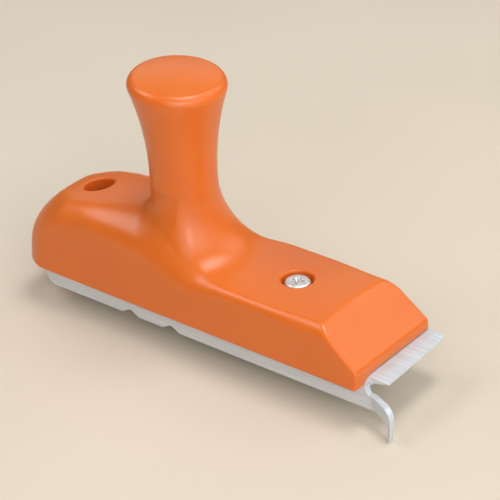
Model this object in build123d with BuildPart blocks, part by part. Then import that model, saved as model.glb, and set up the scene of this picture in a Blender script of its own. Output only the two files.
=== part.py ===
from build123d import *
import os
from math import cos, radians, sin, sqrt

os.makedirs("parts", exist_ok=True)

# A hand edge trimmer: a moulded plastic handle screwed down on one bent, ground steel blade.
# Millimetres, +Z up, +X forwards, the guide flange on the -Y side.  The origin is on the
# underside of the sole, on the centre plane, near the middle of the handle.

# ---- driving dimensions -------------------------------------------------------------------
BODY_WIDTH = 37.0            # across the two side walls, at the sole
BODY_FRONT = 64.6            # the small upright land at the nose
BODY_REAR = -66.5
REAR_CORNER_RADIUS = 10.0    # plan corners at the rear
DRAFT_ANGLE = 4.0            # the side and rear walls lean in
SHOULDER = 3.0               # radius of the long top edges
FOOT_SHOULDER = 2.5          # and of those beside the foot of the knob
NOSE_ROUND = 1.5             # radius round the sloping nose
DECK_HEIGHT = 16.8           # level top in front of the knob
DECK_START = 2.0             # the hump runs out into the deck here
RIDGE_X = 50.4               # where the sloping nose meets the deck
LAND_HEIGHT = 5.6            # top of the upright land
HUMP_X = -20.0               # highest point of the back, under the knob
HUMP_HEIGHT = 27.2
BACK_RADIUS = 140.0          # long curve from the hump back to the rear
REAR_RADIUS = 13.0           # the rear's own curve, seen from the side

KNOB_X = -11.2
KNOB_TOP = 72.9
KNOB_CROWN_RADIUS = 70.0     # domed top of the knob
KNOB_RIM = 2.8               # rounding of the knob's rim
WAIST_RADIUS = 10.2          # the narrowest place
WAIST_HEIGHT = 37.0          # below it the foot sweeps out to the level deck
UPPER_SWEEP = 112.0          # above it the knob opens out on this radius

WALL = 3.0                   # of the hollow moulding
RIB = 2.0
BOSS_DIAMETER = 15.0
KNOB_CORE_DIAMETER = 13.0
KNOB_CORE_TOP = 62.0
FIT_GAP = 0.2                # round the blade in its recess

SHEET = 2.0                  # steel sheet
BEND_RADIUS = 4.5            # outside of the bend
FLANGE_Y = -14.9             # outer face of the guide flange
FLANGE_DEPTH = 7.0           # from the sole down to the flange's lower edge
BLADE_REAR = -58.3
FLANGE_REAR_ROUND = 4.0
BLADE_CORNER = 5.0           # plan corner at the rear of the sole
EDGE_NEAR_X = 71.7           # cutting edge beside the flange
EDGE_FAR_X = 70.8            # and at the far side: the edge is ground slightly askew
EDGE_CORNER = 2.8
GRIND_LENGTH = 6.0           # bevel ground under the cutting edge
GRIND_EDGE = 0.5             # thickness left at the edge

NOTCHES = (-23.4, -7.2)      # shallow notches in the flange's lower edge
NOTCH_WIDTH = 6.6
NOTCH_HEIGHT = 1.6

SLIT_X = 64.9                # the slit that frees the flange from the cutting edge opens from here
SLIT_ROOT = -0.4             # height of its narrow end
SLIT_OPEN_X = 66.3           # and is fully open from here on
SLIT_BOTTOM = -2.4           # it leaves the flared flange this high
SLIT_Y = -12.0               # and trims the bend off the cutting edge
FLARE_START = 66.5           # the flange leans out from here, to lead the board in
FLARE_RADIUS = 6.0
FLARE_ANGLE = 25.0
FINGER_FRONT = 76.8          # the flared flange ends in a finger that reaches down
FINGER_WIDTH = 1.6
FINGER_TIP = -12.6
FINGER_ROUND = 3.5
ARMPIT_ROUND = 2.4
FINGER_SHOULDER = -6.3       # the flange's lower edge where it turns down the finger

SCREWS = {"front_screw": 30.6, "rear_screw": -46.3}
SEAT_HEIGHT = 13.4           # both screw heads seat at this level
WELL_DIAMETER = 9.8
SCREW_HOLE = 4.5             # clearance through the boss
SCREW_DIAMETER = 4.0
TAPPED_HOLE = 4.1
SCREW_LENGTH = 13.0
HEAD_DIAMETER = 8.0
HEAD_HEIGHT = 3.1
DRIVE_WIDTH = 4.6            # cross recess
DRIVE_SLOT = 1.0
DRIVE_DEPTH = 1.9

HALF = BODY_WIDTH / 2
ABOVE_ALL = 100.0

# ---- side view of the handle: arcs that run into each other --------------------------------
rear_centre_x = BODY_REAR + REAR_RADIUS
back_centre_z = HUMP_HEIGHT - BACK_RADIUS
rear_centre_z = back_centre_z + sqrt((BACK_RADIUS - REAR_RADIUS) ** 2 - (HUMP_X - rear_centre_x) ** 2)
outward = BACK_RADIUS / (BACK_RADIUS - REAR_RADIUS)
rear_join = (HUMP_X + (rear_centre_x - HUMP_X) * outward,
             back_centre_z + (rear_centre_z - back_centre_z) * outward)

hump_drop = HUMP_HEIGHT - DECK_HEIGHT
radii_sum = ((DECK_START - HUMP_X) ** 2 + hump_drop**2) / (2 * hump_drop)
hump_radius = 0.57 * radii_sum
fall_join = (HUMP_X + (DECK_START - HUMP_X) * hump_radius / radii_sum,
             HUMP_HEIGHT - hump_radius + (radii_sum - hump_drop) * hump_radius / radii_sum)


def knob_radius(height):
    """Radius of the knob at a height above its waist."""
    return WAIST_RADIUS + UPPER_SWEEP - sqrt(UPPER_SWEEP**2 - (height - WAIST_HEIGHT) ** 2)


# ---- handle: the knob, the foot below it, then the body they stand on -----------------------
top_radius = knob_radius(KNOB_TOP)
rim_height = KNOB_TOP - KNOB_CROWN_RADIUS + sqrt(KNOB_CROWN_RADIUS**2 - top_radius**2)
rim_radius = knob_radius(rim_height)

with BuildPart() as knob:
    with BuildSketch(Plane.XZ):
        with BuildLine():
            RadiusArc((KNOB_X + WAIST_RADIUS, WAIST_HEIGHT), (KNOB_X + rim_radius, rim_height), UPPER_SWEEP)
            TangentArc((KNOB_X, KNOB_TOP), (KNOB_X + rim_radius, rim_height), tangent=(1, 0))
            Polyline((KNOB_X, KNOB_TOP), (KNOB_X, WAIST_HEIGHT), (KNOB_X + WAIST_RADIUS, WAIST_HEIGHT))
        make_face()
        rim = vertices().filter_by(lambda v: v.Y > WAIST_HEIGHT + 1).sort_by(Axis.X)[-1]
        fillet(rim, KNOB_RIM)
    revolve(axis=Axis((KNOB_X, 0, 0), (0, 0, 1)))

# plan outline of the body
with BuildSketch() as plan:
    with Locations((BODY_FRONT, 0)):
        Rectangle(2 * (BODY_FRONT - BODY_REAR), BODY_WIDTH)
    fillet(vertices().group_by(Axis.X)[0], REAR_CORNER_RADIUS)

# the foot sweeps out to the deck, and the side walls cut it off
foot_sweep = WAIST_HEIGHT - DECK_HEIGHT
with BuildPart() as foot:
    with BuildSketch(Plane.XZ):
        with BuildLine():
            foot_edge = (KNOB_X + WAIST_RADIUS + foot_sweep, DECK_HEIGHT)
            TangentArc((KNOB_X + WAIST_RADIUS, WAIST_HEIGHT), foot_edge, tangent=(0, -1))
            Polyline((KNOB_X + WAIST_RADIUS, WAIST_HEIGHT), (KNOB_X, WAIST_HEIGHT), (KNOB_X, SHEET + 1),
                     (foot_edge[0], SHEET + 1), foot_edge)
        make_face()
    revolve(axis=Axis((KNOB_X, 0, 0), (0, 0, 1)))
    extrude(plan.sketch, amount=WAIST_HEIGHT, taper=DRAFT_ANGLE, mode=Mode.INTERSECT)
    foot_sides = edges().filter_by(lambda e: abs(e.center().Y) > 15 and e.center().Z > DECK_HEIGHT)
    fillet(foot_sides, FOOT_SHOULDER)

# the hollow inside: open from below, with ribs, two screw bosses and a core up the knob
with BuildPart() as core:
    inner_half = HALF - 1.5 * WALL
    with BuildSketch(Plane.XZ):
        with BuildLine():
            Polyline((BLADE_REAR + WALL / 2, 0), (BLADE_REAR + WALL / 2, rear_centre_z),
                     (rear_join[0] + WALL, rear_join[1] - WALL - 1), (HUMP_X, HUMP_HEIGHT - WALL - 1),
                     (fall_join[0] - WALL, fall_join[1] - WALL), (DECK_START, DECK_HEIGHT - WALL),
                     (RIDGE_X - 2, DECK_HEIGHT - WALL), (BODY_FRONT - WALL, LAND_HEIGHT - 1),
                     (BODY_FRONT - WALL, 0), close=True)
        make_face()
    extrude(amount=inner_half, both=True)
    with BuildSketch(Plane.XY.offset(SHEET)):
        with Locations(*[(x, 0) for x in SCREWS.values()]):
            Circle(BOSS_DIAMETER / 2)
        with Locations(*[(x, 0) for x in (-33.0, 9.0, 46.0)]):
            Rectangle(RIB, BODY_WIDTH)
        Rectangle(2 * BODY_WIDTH, RIB)
    extrude(amount=ABOVE_ALL, mode=Mode.SUBTRACT)
    with BuildSketch(Plane.XY.offset(SHEET)):
        with Locations((KNOB_X, 0)):
            Circle(KNOB_CORE_DIAMETER / 2)
    extrude(amount=KNOB_CORE_TOP - SHEET)

with BuildPart() as handle:
    with BuildSketch(Plane.XZ):
        with BuildLine():
            rear_arc = TangentArc((BODY_REAR, rear_centre_z), rear_join, tangent=(0, 1))
            TangentArc(rear_join, (HUMP_X, HUMP_HEIGHT), tangent=rear_arc % 1)
            hump_arc = TangentArc((HUMP_X, HUMP_HEIGHT), fall_join, tangent=(1, 0))
            TangentArc(fall_join, (DECK_START, DECK_HEIGHT), tangent=hump_arc % 1)
            Polyline((DECK_START, DECK_HEIGHT), (RIDGE_X, DECK_HEIGHT), (BODY_FRONT, LAND_HEIGHT),
                     (BODY_FRONT, 0), (BODY_REAR, 0), (BODY_REAR, rear_centre_z))
        make_face()
    extrude(amount=BODY_WIDTH, both=True)
    extrude(plan.sketch, amount=HUMP_HEIGHT + 1, taper=DRAFT_ANGLE, mode=Mode.INTERSECT)
    shoulders = edges().filter_by(lambda e: abs(e.center().Y) > 12 and e.center().Z > DECK_HEIGHT - 2)
    fillet(shoulders, SHOULDER)
    nose = edges().filter_by(lambda e: e.center().X > RIDGE_X - 0.5 and e.center().Z > LAND_HEIGHT - 0.5)
    fillet(nose, NOSE_ROUND)
    add(foot.part)
    add(knob.part)
    add(core.part, mode=Mode.SUBTRACT)
    # recess for the blade: open at the far side and the front, close over the bend
    with BuildSketch(Plane.YZ.offset(BLADE_REAR - FIT_GAP)):
        bend_y = FLANGE_Y + BEND_RADIUS
        bend_z = SHEET - BEND_RADIUS
        reach = BEND_RADIUS + FIT_GAP
        with BuildLine():
            lip = (bend_y - sqrt(reach**2 - bend_z**2), 0)
            crest = (bend_y, bend_z + reach)
            middle = (bend_y - reach * sin(radians(25)), bend_z + reach * cos(radians(25)))
            ThreePointArc(lip, middle, crest)
            Polyline(crest, (bend_y + 0.1, SHEET), (HALF + 1, SHEET), (HALF + 1, -1), (lip[0], -1), lip)
        make_face()
    extrude(amount=BODY_FRONT - BLADE_REAR + 2, mode=Mode.SUBTRACT)
    # screw wells with their seats, and the holes below them
    with BuildSketch(Plane.XY.offset(SEAT_HEIGHT)):
        with Locations(*[(x, 0) for x in SCREWS.values()]):
            Circle(WELL_DIAMETER / 2)
    extrude(amount=HUMP_HEIGHT, mode=Mode.SUBTRACT)
    with BuildSketch():
        with Locations(*[(x, 0) for x in SCREWS.values()]):
            Circle(SCREW_HOLE / 2)
    extrude(amount=SEAT_HEIGHT, mode=Mode.SUBTRACT)

handle.part.label = "handle"
export_step(handle.part, "parts/handle.step")


# ---- blade: sole, bend and guide flange out of one sheet -----------------------------------
def flare_point(along, offset):
    """A point on the flared flange: a length past the bend's end, offset in from the outer face."""
    angle = radians(FLARE_ANGLE)
    radius = FLARE_RADIUS + offset
    x = FLARE_START + radius * sin(angle) + along * cos(angle)
    y = FLANGE_Y - FLARE_RADIUS + radius * cos(angle) - along * sin(angle)
    return (x, y)


flange_inner_y = FLANGE_Y + SHEET
lower_edge = -FLANGE_DEPTH

with BuildPart() as flare:
    with BuildSketch(Plane.XY.offset(FINGER_TIP)):
        with BuildLine():
            Line((FLARE_START, FLANGE_Y), (FLARE_START, flange_inner_y))
            inner = TangentArc((FLARE_START, flange_inner_y), flare_point(0, SHEET), tangent=(1, 0))
            outer = TangentArc((FLARE_START, FLANGE_Y), flare_point(0, 0), tangent=(1, 0))
            Polyline(inner @ 1, flare_point(12, SHEET), flare_point(12, 0), outer @ 1)
        make_face()
    extrude(amount=SLIT_BOTTOM - FINGER_TIP)
    # its outline from the side: a level top, then a finger that turns down
    finger_rear = FINGER_FRONT - FINGER_WIDTH
    with BuildSketch(Plane.XZ):
        with BuildLine():
            Polyline((FLARE_START, SLIT_BOTTOM), (FINGER_FRONT, SLIT_BOTTOM), (FINGER_FRONT, FINGER_TIP + 4),
                     (FINGER_FRONT - 0.5, FINGER_TIP), (finger_rear, FINGER_TIP),
                     (finger_rear, FINGER_SHOULDER), (FLARE_START, lower_edge), close=True)
        make_face()
        fillet(vertices().sort_by_distance((FINGER_FRONT, SLIT_BOTTOM, 0))[0], FINGER_ROUND)
        fillet(vertices().sort_by_distance((finger_rear, FINGER_SHOULDER, 0))[0], ARMPIT_ROUND)
    extrude(amount=BODY_WIDTH, both=True, mode=Mode.INTERSECT)

with BuildPart() as blade:
    with BuildSketch(Plane.YZ.offset(BLADE_REAR)):
        with BuildLine():
            Polyline((FLANGE_Y, lower_edge), (FLANGE_Y, bend_z))
            TangentArc((FLANGE_Y, bend_z), (bend_y, SHEET), tangent=(0, 1))
            Polyline((bend_y, SHEET), (HALF, SHEET), (HALF, 0), (bend_y, 0))
            TangentArc((bend_y, 0), (flange_inner_y, bend_z), tangent=(-1, 0))
            Polyline((flange_inner_y, bend_z), (flange_inner_y, lower_edge), (FLANGE_Y, lower_edge))
        make_face()
    extrude(amount=EDGE_NEAR_X - BLADE_REAR)
    # the flange's rear corner and its two notches
    with BuildSketch(Plane.XZ):
        with BuildLine():
            Line((BLADE_REAR, lower_edge), (BLADE_REAR, lower_edge + FLANGE_REAR_ROUND))
            TangentArc((BLADE_REAR, lower_edge + FLANGE_REAR_ROUND),
                       (BLADE_REAR + FLANGE_REAR_ROUND, lower_edge), tangent=(0, -1))
            Line((BLADE_REAR + FLANGE_REAR_ROUND, lower_edge), (BLADE_REAR, lower_edge))
        make_face()
    extrude(amount=HALF, mode=Mode.SUBTRACT)
    with BuildSketch(Plane.XZ):
        for x in NOTCHES:
            with BuildLine():
                Polyline((x - NOTCH_WIDTH / 2, lower_edge), (x - 0.5, lower_edge + NOTCH_HEIGHT),
                         (x + 0.5, lower_edge + NOTCH_HEIGHT), (x + NOTCH_WIDTH / 2, lower_edge), close=True)
            make_face()
    extrude(amount=HALF, mode=Mode.SUBTRACT)
    # the flat flange stops where the flared one starts, and the slit frees the cutting edge
    with BuildSketch(Plane.XZ):
        with BuildLine():
            Polyline((FLARE_START, lower_edge - 1), (FLARE_START, SLIT_BOTTOM), (EDGE_NEAR_X + 1, SLIT_BOTTOM),
                     (EDGE_NEAR_X + 1, lower_edge - 1), close=True)
        make_face()
    extrude(amount=HALF, mode=Mode.SUBTRACT)
    with BuildSketch(Plane.XZ.offset(-SLIT_Y)):
        with BuildLine():
            Polyline((SLIT_X, SLIT_ROOT), (SLIT_OPEN_X, SHEET + 1), (EDGE_NEAR_X + 1, SHEET + 1),
                     (EDGE_NEAR_X + 1, SLIT_BOTTOM), (SLIT_OPEN_X, SLIT_BOTTOM), close=True)
        make_face()
    extrude(amount=HALF, mode=Mode.SUBTRACT)
    add(flare.part)
    # cutting edge: askew, with a rounded far corner and a bevel ground underneath
    with BuildSketch(Plane.XY.offset(-1)):
        with BuildLine():
            near = (EDGE_NEAR_X, flange_inner_y)
            far = (EDGE_FAR_X, HALF)
            Polyline(near, far, (EDGE_NEAR_X + 1, HALF), (EDGE_NEAR_X + 1, flange_inner_y), close=True)
        make_face()
    extrude(amount=SHEET + 2, mode=Mode.SUBTRACT)
    edge_plane = Plane(origin=(near[0], near[1], 0), x_dir=(1, 0, 0),
                       z_dir=(near[0] - far[0], near[1] - far[1], 0))
    with BuildSketch(edge_plane):
        with BuildLine():
            Polyline((-GRIND_LENGTH, 0), (0, SHEET - GRIND_EDGE), (2, SHEET - GRIND_EDGE), (2, -1),
                     (-GRIND_LENGTH, -1), close=True)
        make_face()
    extrude(amount=-2 * BODY_WIDTH, mode=Mode.SUBTRACT)
    corner_edge = edges().filter_by(lambda e: e.center().X > EDGE_FAR_X - 1 and e.center().Y > HALF - 0.1)
    fillet(corner_edge.filter_by(Axis.Z), EDGE_CORNER)
    # its rear far corner keeps inside the handle's rounded corner
    rear_corner = edges().filter_by(Axis.Z).sort_by_distance((BLADE_REAR, HALF, 0))[0]
    fillet(rear_corner, BLADE_CORNER)
    # tapped holes
    with BuildSketch():
        with Locations(*[(x, 0) for x in SCREWS.values()]):
            Circle(TAPPED_HOLE / 2)
    extrude(amount=SHEET, mode=Mode.SUBTRACT)

blade.part.label = "blade"
export_step(blade.part, "parts/blade.step")


# ---- the two pan head screws ---------------------------------------------------------------
for name, x in SCREWS.items():
    with BuildPart() as screw:
        with Locations((x, 0, SEAT_HEIGHT)):
            Cylinder(HEAD_DIAMETER / 2, HEAD_HEIGHT, align=(Align.CENTER, Align.CENTER, Align.MIN))
        fillet(edges().sort_by(Axis.Z)[-1], 1.4)
        with Locations((x, 0, SEAT_HEIGHT - SCREW_LENGTH)):
            Cylinder(SCREW_DIAMETER / 2, SCREW_LENGTH, align=(Align.CENTER, Align.CENTER, Align.MIN))
        chamfer(edges().sort_by(Axis.Z)[0], 0.4)
        with BuildSketch(Plane.XY.offset(SEAT_HEIGHT + HEAD_HEIGHT)):
            with Locations((x, 0)):
                Rectangle(DRIVE_WIDTH, DRIVE_SLOT)
                Rectangle(DRIVE_SLOT, DRIVE_WIDTH)
        extrude(amount=-DRIVE_DEPTH, taper=12, mode=Mode.SUBTRACT)
    screw.part.label = name
    export_step(screw.part, f"parts/{name}.step")
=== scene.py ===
"""The looks of a hand edge trimmer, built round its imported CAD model.

The moulded handle and the two screws are smooth solids, each described by a field that is negative
inside it, and meshed where the field is zero. Fields are in millimetres, in the frame of the part:
+X forwards, +Z up, the guide flange at -Y, and the underside of the steel sole at z = 0.
"""

import math

import bmesh
import bpy
import numpy as np
from mathutils import Matrix, Vector

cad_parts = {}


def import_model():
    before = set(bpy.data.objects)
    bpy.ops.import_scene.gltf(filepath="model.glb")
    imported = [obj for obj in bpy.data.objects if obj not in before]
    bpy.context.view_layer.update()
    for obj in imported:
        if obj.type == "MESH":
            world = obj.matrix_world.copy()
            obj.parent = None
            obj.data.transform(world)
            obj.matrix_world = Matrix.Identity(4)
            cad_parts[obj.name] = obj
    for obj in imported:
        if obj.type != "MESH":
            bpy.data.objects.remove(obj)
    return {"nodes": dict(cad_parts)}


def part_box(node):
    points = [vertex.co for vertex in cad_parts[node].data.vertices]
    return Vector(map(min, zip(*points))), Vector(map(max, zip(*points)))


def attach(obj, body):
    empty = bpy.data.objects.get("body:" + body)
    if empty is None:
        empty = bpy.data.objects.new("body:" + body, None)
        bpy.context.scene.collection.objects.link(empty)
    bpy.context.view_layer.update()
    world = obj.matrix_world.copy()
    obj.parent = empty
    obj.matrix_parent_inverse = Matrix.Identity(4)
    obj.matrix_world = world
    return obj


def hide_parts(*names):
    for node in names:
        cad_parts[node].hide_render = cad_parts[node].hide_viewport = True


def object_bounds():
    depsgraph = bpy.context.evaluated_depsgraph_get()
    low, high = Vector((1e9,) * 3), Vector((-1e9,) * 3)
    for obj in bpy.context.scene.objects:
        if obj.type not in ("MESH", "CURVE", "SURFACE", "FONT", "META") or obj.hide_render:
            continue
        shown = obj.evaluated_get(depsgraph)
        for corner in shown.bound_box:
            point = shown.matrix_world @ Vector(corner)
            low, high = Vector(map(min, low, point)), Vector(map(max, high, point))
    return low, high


MM = 0.001

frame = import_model()
cad_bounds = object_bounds()


def box_mm(node):
    """Lowest and highest corner of a CAD node, in millimetres."""
    low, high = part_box(node)
    return np.array(low) / MM, np.array(high) / MM


handle_low, handle_high = box_mm("handle")
blade_low = box_mm("blade")[0]
screw_boxes = {name: box_mm(name) for name in ("front_screw", "rear_screw")}
screw_x = {name: (low[0] + high[0]) / 2 for name, (low, high) in screw_boxes.items()}

# ---- handle dimensions ---------------------------------------------------------------------
REAR = handle_low[0]
FRONT = handle_high[0]
HALF = -handle_low[1]
CROWN_DROP = 0.3             # the crown's middle is this far below the top of the CAD box
KNOB_TOP = handle_high[2] - CROWN_DROP
REAR_CORNER = 10.0
DRAFT = math.tan(math.radians(3.7))
DECK_HEIGHT = 16.8
DECK_START = 8.0
RIDGE_X = 50.4
LAND_HEIGHT = 5.6
HUMP_X = -20.0
HUMP_HEIGHT = 27.5
BACK_RADIUS = 138.0
FALL_SHARE = 0.5             # how much of the fall from the hump to the deck is convex
HUMP_START = 10.0            # the roundings of the deck give way to the hump's behind this
HUMP_FULL = -22.0            # and its sides curve in fully from here
CROWN_HALF = 16.0            # the top is crowned: how far it has dropped this far from the middle
DECK_CROWN = 0.8
BACK_CROWN = 1.7
DECK_SHOULDER = 2.3
BACK_SHOULDER = 4.5
REAR_SHOULDER = 11.5
REAR_SHOULDER_X = (-48.0, -60.0)
NOSE_SHOULDER = 1.2          # added where the deck runs out to the nose
NOSE_SHOULDER_X = 30.0
FOOT_SHOULDER = 5.0          # added beside the knob, where the foot runs into the side walls
FOOT_REACH = 34.0            # and gone this far from the knob's axis
LEAN_BAND = 9.0              # the hump's sides curve in over this height
LEAN_RADIUS = 17.0
RIDGE_ROUND = 1.0
LAND_ROUND = 0.7
BOTTOM_ROUND = 0.3
BOTTOM_CORNER_ROUND = 1.2    # where the rear wall meets the bottom
BOTTOM_CORNER_X = (-56.0, -62.0)

KNOB_X = -11.17
KNOB_CROWN_RADIUS = 66.0
KNOB_RIM = 3.2
KNOB_TILT = 0.065
WAIST_RADIUS = 10.22
WAIST_HEIGHT = 40.0
UPPER_SWEEP = 89.0
LOWER_SWEEP = 200.0
KNOB_FOOT = 8.0
FILLET_FRONT = 15.0
FILLET_BACK = 3.5

WELL_RADIUS = 4.9
WELL_RIM = 0.45
WALLS_END = 3.0              # this far below the waist the side walls stop trimming the knob
NOSE_REACH = 3.0             # the nose's slope goes on this far above the deck
DEEP_INSIDE = -50.0
SLOPE_STEP = 0.05            # for slopes of the outlines
SHEET = 2.0
BEND_RADIUS = 4.5
FIT_GAP = 0.12
FLANGE_Y = -14.9             # the flange's outer face
SCREW_LENGTH = 13.0
SCREW_HOLE_RADIUS = 2.25
SEAT = screw_boxes["front_screw"][0][2] + SCREW_LENGTH


# ---- fields --------------------------------------------------------------------------------
def round_max(a, b, radius):
    """Where two solids overlap, with the edge between them rounded."""
    corner = np.hypot(np.maximum(a + radius, 0), np.maximum(b + radius, 0))
    return np.minimum(np.maximum(a, b), -radius) + corner


def round_min(a, b, radius):
    """Two solids joined, with a fillet between them."""
    corner = np.hypot(np.maximum(radius - a, 0), np.maximum(radius - b, 0))
    return np.maximum(np.minimum(a, b), radius) - corner


def ease(value, start, end):
    """Goes smoothly from 0 at start to 1 at end."""
    t = np.clip((value - start) / (end - start), 0, 1)
    return t * t * (3 - 2 * t)


def between(first, second, share):
    """Goes from the first value to the second as the share goes from 0 to 1."""
    return first + (second - first) * share


def top_height(x):
    """The handle's back on its centre plane: a long arc, a hump, and a fall to the level deck."""
    drop = HUMP_HEIGHT - DECK_HEIGHT
    radii = ((DECK_START - HUMP_X) ** 2 + drop**2) / (2 * drop)
    hump = FALL_SHARE * radii
    foot = radii - hump
    join = HUMP_X + (DECK_START - HUMP_X) * FALL_SHARE
    back_part = HUMP_HEIGHT - BACK_RADIUS + np.sqrt(BACK_RADIUS**2 - np.minimum(x - HUMP_X, 0) ** 2)
    hump_part = back_part - hump + np.sqrt(hump**2 - np.clip(x - HUMP_X, 0, join - HUMP_X) ** 2)
    foot_part = DECK_HEIGHT + foot - np.sqrt(foot**2 - np.clip(DECK_START - x, 0, DECK_START - join) ** 2)
    return np.where(x < join, hump_part, foot_part)


def knob_radius(z):
    """The knob's outline: two long sweeps that meet at the waist."""
    rise = np.maximum(z, KNOB_FOOT) - WAIST_HEIGHT
    sweep = np.where(rise > 0, UPPER_SWEEP, LOWER_SWEEP)
    return WAIST_RADIUS + sweep - np.sqrt(sweep**2 - rise**2)


def knob_field(x, y, z):
    across = np.hypot(x - KNOB_X, y)
    radius = knob_radius(z)
    slope = (knob_radius(z + SLOPE_STEP) - radius) / SLOPE_STEP
    side = (across - radius) / np.hypot(1, slope)
    crown = z - KNOB_TOP + across**2 / (2 * KNOB_CROWN_RADIUS) + KNOB_TILT * (x - KNOB_X)
    return round_max(side, crown, KNOB_RIM)


def walls_field(x, y, z):
    """The side and rear walls with their draft, rounded corners and the hump's curved-in sides."""
    top = top_height(x)
    low_part = np.minimum(z, top)
    band = LEAN_BAND * ease(x, HUMP_START, HUMP_FULL)
    lean = np.maximum(low_part - (top - band), 0) ** 2 / (2 * LEAN_RADIUS)
    side = np.abs(y) - (HALF - DRAFT * low_part - lean)
    rear = REAR + DRAFT * low_part - x
    return round_max(side, rear, REAR_CORNER) * math.cos(math.atan(DRAFT))


def blade_recess(x, y, z):
    """The space of the steel sheet below the handle, close over its bend."""
    bend_y = FLANGE_Y + BEND_RADIUS
    bend_z = SHEET - BEND_RADIUS
    over_bend = np.hypot(y - bend_y, z - bend_z) - BEND_RADIUS
    section = np.where(y < bend_y, over_bend, z - SHEET) - FIT_GAP
    return np.maximum(section, blade_low[0] - FIT_GAP - x)


def handle_field(x, y, z):
    top = top_height(x)
    slope = (top_height(x + SLOPE_STEP) - top) / SLOPE_STEP
    crown = between(DECK_CROWN, BACK_CROWN, ease(x, HUMP_START, HUMP_X))
    back = (z - top + crown * (y / CROWN_HALF) ** 2) / np.hypot(1, slope)
    facing = (x - KNOB_X) / np.maximum(np.hypot(x - KNOB_X, y), 1)
    fillet = between(FILLET_BACK, FILLET_FRONT, (1 + facing) / 2)
    upper = round_min(back, knob_field(x, y, z), fillet)
    walls = walls_field(x, y, z)
    walls = np.where(z > WAIST_HEIGHT - WALLS_END, DEEP_INSIDE, walls)
    shoulder = between(DECK_SHOULDER, BACK_SHOULDER, ease(x, HUMP_START, HUMP_X))
    shoulder = between(shoulder, REAR_SHOULDER, ease(x, *REAR_SHOULDER_X))
    shoulder = shoulder + NOSE_SHOULDER * ease(x, NOSE_SHOULDER_X, RIDGE_X)
    shoulder = shoulder + FOOT_SHOULDER * ease(np.hypot(x - KNOB_X, y), FOOT_REACH, WAIST_RADIUS)
    body = round_max(upper, walls, shoulder)
    # sloping nose with its small upright land
    fall = DECK_HEIGHT - LAND_HEIGHT
    run = FRONT - RIDGE_X
    low_z = np.minimum(z, DECK_HEIGHT + NOSE_REACH)
    nose = ((x - RIDGE_X) * fall + (low_z - DECK_HEIGHT) * run) / math.hypot(run, fall)
    front = round_max(nose, x - FRONT, LAND_ROUND)
    front_round = between(LAND_ROUND, RIDGE_ROUND, ease(z, LAND_HEIGHT, DECK_HEIGHT - 2))
    body = round_max(body, front, front_round)
    bottom_round = between(BOTTOM_ROUND, BOTTOM_CORNER_ROUND, ease(x, *BOTTOM_CORNER_X))
    body = round_max(body, -z, bottom_round)
    for well_x in screw_x.values():
        across = np.hypot(x - well_x, y)
        well = np.maximum(across - WELL_RADIUS, SEAT - z)
        body = round_max(body, -well, WELL_RIM)
        body = np.maximum(body, SCREW_HOLE_RADIUS - across)
    return np.maximum(body, -blade_recess(x, y, z))


# ---- meshing -------------------------------------------------------------------------------
def surface_net(field, low, high, step):
    """Vertices and quads on a field's zero level: one vertex in each grid cell that it crosses."""
    axes = [np.arange(a - 1.5 * step, b + 2.5 * step, step) for a, b in zip(low, high)]
    values = field(*np.meshgrid(*axes, indexing="ij", sparse=True))
    strides = np.array([values.shape[1] * values.shape[2], values.shape[2], 1])
    cells, points, quads = [], [], []
    for axis in range(3):
        count = values.shape[axis]
        first = np.take(values, np.arange(count - 1), axis)
        second = np.take(values, np.arange(1, count), axis)
        crossing = np.argwhere((first < 0) != (second < 0))
        a = first[tuple(crossing.T)]
        b = second[tuple(crossing.T)]
        point = crossing.astype(float)
        point[:, axis] += a / (a - b)
        corner = crossing @ strides
        next_step, last_step = strides[(axis + 1) % 3], strides[(axis + 2) % 3]
        ring = np.stack([corner - next_step - last_step, corner - last_step, corner, corner - next_step], 1)
        cells.append(ring.ravel())
        points.append(np.repeat(point, 4, axis=0))
        quads.append(np.where((a < 0)[:, None], ring, ring[:, ::-1]))
    cells, points, quads = np.concatenate(cells), np.concatenate(points), np.concatenate(quads)
    used, place = np.unique(cells, return_inverse=True)
    total = np.bincount(place)
    vertices = np.stack([np.bincount(place, points[:, k]) / total for k in range(3)], 1)
    start = np.array([axis[0] for axis in axes])
    return start + vertices * step, np.searchsorted(used, quads)


def field_slope(field, points):
    """The field and its gradient at some points."""
    reach = 0.01
    here = field(*points.T)
    slope = np.zeros_like(points)
    for k in range(3):
        shift = np.zeros(3)
        shift[k] = reach
        slope[:, k] = (field(*(points + shift).T) - field(*(points - shift).T)) / (2 * reach)
    return here, slope


def neighbour_mean(vertices, quads):
    """The mean place of each vertex's neighbours along the quads' sides."""
    corner = quads.ravel()
    count = 2 * np.bincount(corner, minlength=len(vertices))
    mean = np.zeros_like(vertices)
    for k in range(3):
        beside = vertices[np.roll(quads, 1, 1), k] + vertices[np.roll(quads, -1, 1), k]
        mean[:, k] = np.bincount(corner, beside.ravel(), len(vertices)) / np.maximum(count, 1)
    return mean


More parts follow.
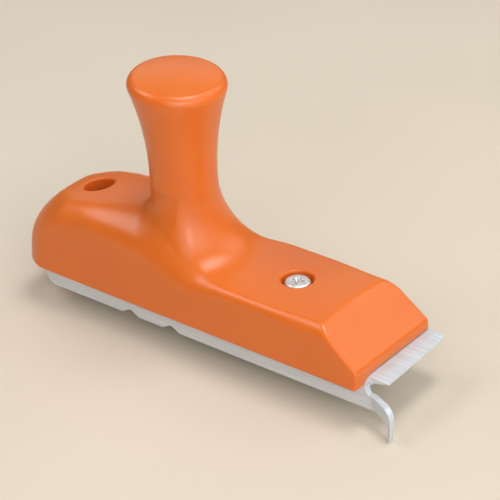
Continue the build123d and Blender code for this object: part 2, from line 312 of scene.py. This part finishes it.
def solid(name, field, low, high, step, settle=6):
    """A mesh object on a field's zero level, with its normals taken from the field."""
    vertices, quads = surface_net(field, low, high, step)
    for turn in range(settle):
        if turn < settle / 2:
            vertices = 0.5 * vertices + 0.5 * neighbour_mean(vertices, quads)
        here, slope = field_slope(field, vertices)
        move = slope * (here / np.maximum((slope**2).sum(1), 0.2))[:, None]
        size = np.linalg.norm(move, axis=1, keepdims=True)
        vertices = vertices - move * np.minimum(1, 0.4 * step / np.maximum(size, 1e-9))
    vertices = np.clip(vertices, low, high)
    slope = field_slope(field, vertices)[1]
    normals = slope / np.maximum(np.linalg.norm(slope, axis=1, keepdims=True), 1e-9)
    mesh = bpy.data.meshes.new(name)
    mesh.from_pydata((vertices * MM).tolist(), [], quads.tolist())
    mesh.validate()
    mesh.shade_smooth()
    if len(mesh.vertices) == len(normals):
        mesh.normals_split_custom_set_from_vertices(normals.tolist())
    piece = bpy.data.objects.new(name, mesh)
    bpy.context.scene.collection.objects.link(piece)
    return piece


# ---- blade ---------------------------------------------------------------------------------
FLAT_ANGLE = math.radians(1.0)
SHARP_ANGLE = math.radians(32)


def broken_edges(name, source, width):
    """A copy of a CAD body with its edges broken by a narrow round, so that they catch the light."""
    shape = bmesh.new()
    shape.from_mesh(source.data)
    shape.transform(source.matrix_world)
    bmesh.ops.remove_doubles(shape, verts=shape.verts, dist=0.001 * MM)
    bmesh.ops.dissolve_limit(shape, angle_limit=FLAT_ANGLE, verts=shape.verts, edges=shape.edges)
    inner = [edge for edge in shape.edges if len(edge.link_faces) == 2]
    sharp = [edge for edge in inner if edge.calc_face_angle() > SHARP_ANGLE]
    bmesh.ops.bevel(shape, geom=sharp, offset=width * MM, segments=2, profile=0.5, affect="EDGES",
                    clamp_overlap=True)
    bmesh.ops.triangulate(shape, faces=[f for f in shape.faces if len(f.verts) > 4])
    # the tools above leave the vertices and faces in an order of their own, which is not always the same
    vertices = sorted(shape.verts, key=lambda vertex: tuple(vertex.co))
    place = {vertex: k for k, vertex in enumerate(vertices)}
    faces = sorted([place[vertex] for vertex in face.verts] for face in shape.faces)
    normals = []
    for vertex in vertices:
        total = Vector((0, 0, 0))
        for face in vertex.link_faces:
            total += face.normal * face.calc_area()
        normals.append(total.normalized())
    mesh = bpy.data.meshes.new(name)
    mesh.from_pydata([tuple(vertex.co) for vertex in vertices], [], faces)
    shape.free()
    mesh.shade_smooth()
    mesh.normals_split_custom_set_from_vertices(normals)
    piece = bpy.data.objects.new(name, mesh)
    bpy.context.scene.collection.objects.link(piece)
    return piece


# ---- screws --------------------------------------------------------------------------------
HEAD_RADIUS = 4.0
HEAD_HEIGHT = 3.1
HEAD_DOME = 16.0
HEAD_EDGE = 0.8
SEAT_EDGE = 0.25
DRIVE_HALF = 2.3
DRIVE_SLOT = 0.45
DRIVE_DEPTH = 1.9
DRIVE_NARROWING = (0.45, 0.1)    # of the wings' reach and width, per mm of depth
DRIVE_CONE = 1.25                # radius of the cone between the wings, at the top
CONE_NARROWING = 0.55            # per mm of depth
CONE_SCALE = 0.87                # evens out the slope of the cone's field
DRIVE_ROUND = 0.15
DRIVE_JOIN = 0.2
DRIVE_RIM = 0.12
THREAD_PITCH = 0.7
THREAD_RADIUS = 2.0
THREAD_ROOT = 1.72
TIP_TAPER = 0.4
SHANK_SCALE = 0.8                # evens out the field's slope across the thread
SHANK_OVERLAP = 0.5              # how far the shank runs up into the head


def screw_field(x, y, z):
    """A pan head screw standing on its axis, with its seat at z = 0."""
    across = np.hypot(x, y)
    dome = z - HEAD_HEIGHT + across**2 / (2 * HEAD_DOME)
    head = round_max(across - HEAD_RADIUS, dome, HEAD_EDGE)
    head = round_max(head, -z, SEAT_EDGE)
    # cross recess: wings that narrow and shorten on the way down, with a cone at the bottom
    depth = HEAD_HEIGHT - z
    reach = DRIVE_HALF - DRIVE_NARROWING[0] * depth
    slot = DRIVE_SLOT - DRIVE_NARROWING[1] * depth
    wing_x = round_max(np.abs(x) - reach, np.abs(y) - slot, DRIVE_ROUND)
    wing_y = round_max(np.abs(y) - reach, np.abs(x) - slot, DRIVE_ROUND)
    cone = (across - DRIVE_CONE + CONE_NARROWING * depth) * CONE_SCALE
    drive = np.minimum(round_min(wing_x, wing_y, DRIVE_JOIN), cone)
    drive = np.maximum(drive, depth - DRIVE_DEPTH)
    head = round_max(head, -drive, DRIVE_RIM)
    turn = np.arctan2(y, x) / (2 * math.pi)
    ridge = np.abs(((z / THREAD_PITCH - turn) % 1) * 2 - 1)
    cut = ease(z, -0.6, -1.6) * (1 - ease(z, 0.6 - SCREW_LENGTH, -SCREW_LENGTH))
    radius = THREAD_RADIUS - (THREAD_RADIUS - THREAD_ROOT) * ridge * cut
    tip = ease(z, 0.5 - SCREW_LENGTH, -SCREW_LENGTH) * TIP_TAPER
    shank = (across - radius + tip) * SHANK_SCALE
    shank = np.maximum(shank, -z - SCREW_LENGTH)
    return np.minimum(head, np.maximum(shank, z - SHANK_OVERLAP))


# ---- materials -----------------------------------------------------------------------------
def srgb(red, green, blue):
    """A colour given as it looks on a screen, 0 to 255, turned into light."""
    def channel(value):
        value = value / 255
        return value / 12.92 if value <= 0.04045 else ((value + 0.055) / 1.055) ** 2.4
    return (channel(red), channel(green), channel(blue), 1.0)


class Nodes:
    """Adds nodes to a material and links them."""

    def __init__(self, name):
        self.material = bpy.data.materials.new(name)
        self.material.use_nodes = True
        self.tree = self.material.node_tree
        self.shader = self.tree.nodes["Principled BSDF"]
        self.place = self.add("ShaderNodeTexCoord").outputs["Object"]

    def add(self, kind, inputs=None, **settings):
        node = self.tree.nodes.new(kind)
        for key, value in settings.items():
            setattr(node, key, value)
        for key, value in (inputs or {}).items():
            if isinstance(value, bpy.types.NodeSocket):
                self.tree.links.new(value, node.inputs[key])
            else:
                node.inputs[key].default_value = value
        return node

    def noise(self, scale, detail=2.0, stretch=(1, 1, 1), rough=0.5):
        """Noise of a scale per metre, stretched along the axes."""
        mapping = self.add("ShaderNodeMapping", {"Vector": self.place, "Scale": stretch})
        noise = self.add("ShaderNodeTexNoise", {"Vector": mapping.outputs[0], "Scale": scale,
                                                "Detail": detail, "Roughness": rough})
        return noise.outputs["Fac"]

    def spread(self, value, low, high, start=0.0, end=1.0):
        """Maps a value from low..high to start..end."""
        node = self.add("ShaderNodeMapRange", {"Value": value, "From Min": low, "From Max": high,
                                               "To Min": start, "To Max": end})
        return node.outputs[0]

    def mix(self, share, first, second):
        node = self.add("ShaderNodeMix", {"Factor": share}, data_type="RGBA")
        for socket, value in ((node.inputs[6], first), (node.inputs[7], second)):
            if isinstance(value, bpy.types.NodeSocket):
                self.tree.links.new(value, socket)
            else:
                socket.default_value = value
        return node.outputs[2]

    def bump(self, height, distance, strength=1.0, normal=None):
        inputs = {"Height": height, "Distance": distance, "Strength": strength}
        if normal is not None:
            inputs["Normal"] = normal
        return self.add("ShaderNodeBump", inputs).outputs[0]

    def connect(self, **sockets):
        for name, value in sockets.items():
            socket = self.shader.inputs[name.replace("_", " ")]
            if isinstance(value, bpy.types.NodeSocket):
                self.tree.links.new(value, socket)
            else:
                socket.default_value = value
        return self.material


def handle_plastic():
    """Satin orange moulded plastic: a little mottled, finely textured."""
    nodes = Nodes("orange_plastic")
    mottle = nodes.noise(45, 3)
    color = nodes.mix(nodes.spread(mottle, 0.2, 0.8), srgb(213, 107, 33), srgb(219, 112, 37))
    grain = nodes.noise(2600, 2)
    waves = nodes.noise(120, 2)
    normal = nodes.bump(grain, 0.00002, 0.5)
    normal = nodes.bump(waves, 0.00015, 0.25, normal)
    smears = nodes.noise(60, 2, (1, 1, 0.5))
    rough = nodes.spread(smears, 0.1, 0.9, 0.27, 0.35)
    return nodes.connect(Base_Color=color, Roughness=rough, Normal=normal, IOR=1.5,
                         Subsurface_Weight=0.5, Subsurface_Radius=(1.0, 0.25, 0.08),
                         Subsurface_Scale=0.005)


def ground_steel():
    """Sheet steel with fine grinding lines that run along X."""
    nodes = Nodes("ground_steel")
    lines = nodes.noise(1, 3, (60, 5200, 5200), 0.7)
    broad = nodes.noise(1, 2, (25, 700, 700))
    color = nodes.mix(nodes.spread(lines, 0.3, 0.7), srgb(178, 184, 189), srgb(232, 238, 243))
    color = nodes.mix(nodes.spread(broad, 0.35, 0.65, 0.0, 0.5), color, srgb(214, 220, 224))
    rough = nodes.spread(lines, 0.3, 0.7, 0.42, 0.6)
    normal = nodes.bump(lines, 0.00002, 0.6)
    return nodes.connect(Base_Color=color, Metallic=0.35, Roughness=rough, Normal=normal)


def screw_steel():
    """Zinc-plated steel, a little scuffed."""
    nodes = Nodes("plated_steel")
    patches = nodes.noise(900, 4)
    scuffs = nodes.noise(2500, 3, (1, 0.3, 1))
    color = nodes.mix(nodes.spread(patches, 0.35, 0.65), srgb(222, 219, 216), srgb(242, 240, 238))
    rough = nodes.spread(scuffs, 0.3, 0.7, 0.3, 0.5)
    normal = nodes.bump(scuffs, 0.00003, 0.5)
    return nodes.connect(Base_Color=color, Metallic=0.8, Roughness=rough, Normal=normal)


# ---- the pieces ----------------------------------------------------------------------------
HANDLE_CELL = 0.55
SCREW_CELL = 0.13
EDGE_BREAK = 0.14
SCREW_TURNS = {"front_screw": 17, "rear_screw": 52}

handle = solid("handle_skin", handle_field, handle_low, handle_high, HANDLE_CELL)
handle.data.materials.append(handle_plastic())
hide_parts("handle")
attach(handle, "root")

plated = screw_steel()
for name, (low, high) in screw_boxes.items():
    middle = np.array([screw_x[name], 0.0, SEAT])
    screw = solid(f"{name}_detail", screw_field, low - middle, high - middle, SCREW_CELL, settle=4)
    screw.location = Vector(middle * MM)
    screw.rotation_euler = (0, 0, math.radians(SCREW_TURNS[name]))
    screw.data.materials.append(plated)
    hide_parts(name)
    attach(screw, "root")

blade = broken_edges("blade_detail", frame["nodes"]["blade"], EDGE_BREAK)
blade.data.materials.append(ground_steel())
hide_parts("blade")
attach(blade, "root")


# ---- floor, light and camera ---------------------------------------------------------------
FLOOR_HALF = 3.0
LIGHT_AIM = Vector((0, 0, 0.02))
# name, place, width and height, watts
LIGHTS = (
    ("front", (0.82, -0.68, 0.56), (1.5, 1.3), 9.2),
    ("front_core", (0.82, -0.68, 0.56), (0.45, 0.4), 3.2),
    ("right", (0.85, 0.12, 0.50), (0.8, 0.7), 1.8),
    ("far_right", (0.42, 0.78, 0.75), (0.8, 0.7), 2.6),
    ("overhead", (0.13, 0.14, 0.95), (0.42, 0.36), 4.0),
    ("rear_left", (-0.55, -0.25, 0.78), (0.5, 0.4), 2.7),
    ("behind", (-0.60, 0.72, 0.55), (0.8, 0.5), 0.9),
)


def floor():
    size = FLOOR_HALF
    mesh = bpy.data.meshes.new("floor")
    z = cad_bounds[0][2]
    corners = [(-size, -size, z), (size, -size, z), (size, size, z), (-size, size, z)]
    mesh.from_pydata(corners, [], [(0, 1, 2, 3)])
    piece = bpy.data.objects.new("floor", mesh)
    bpy.context.scene.collection.objects.link(piece)
    nodes = Nodes("pale_floor")
    tone = nodes.mix(nodes.spread(nodes.noise(6, 2), 0.3, 0.7), srgb(208, 196, 178), srgb(215, 203, 185))
    piece.data.materials.append(nodes.connect(Base_Color=tone, Roughness=0.8))


def area_light(name, place, size, power):
    data = bpy.data.lights.new(name, "AREA")
    data.shape = "RECTANGLE"
    data.size, data.size_y = size
    data.energy = power
    light = bpy.data.objects.new(name, data)
    light.location = place
    light.rotation_euler = (LIGHT_AIM - Vector(place)).to_track_quat("-Z", "Y").to_euler()
    bpy.context.scene.collection.objects.link(light)


def world(color, strength):
    """An even, faint light from all round."""
    data = bpy.data.worlds.new("studio")
    data.use_nodes = True
    background = data.node_tree.nodes["Background"]
    background.inputs["Color"].default_value = color
    background.inputs["Strength"].default_value = strength
    bpy.context.scene.world = data


CAMERA_PLACE = (0.37293, -0.43242, 0.34907)
CAMERA_FORWARD = (-0.55245, 0.66384, -0.50410)
CAMERA_RIGHT = (0.78343, 0.62005, -0.04203)
LENS = 158.4


def camera():
    """Looks down at 30 degrees on the flange side and the nose, through a long lens."""
    data = bpy.data.cameras.new("camera")
    data.sensor_width = 36.0
    data.lens = LENS
    piece = bpy.data.objects.new("camera", data)
    forward = Vector(CAMERA_FORWARD).normalized()
    right = Vector(CAMERA_RIGHT).normalized()
    up = right.cross(forward)
    turn = Matrix((right, up, -forward)).transposed().to_4x4()
    piece.matrix_world = Matrix.Translation(CAMERA_PLACE) @ turn
    bpy.context.scene.collection.objects.link(piece)
    bpy.context.scene.camera = piece


floor()
for row in LIGHTS:
    area_light(*row)
world((1, 0.99, 0.98, 1), 0.09)
camera()
bpy.context.scene.view_settings.view_transform = "Standard"
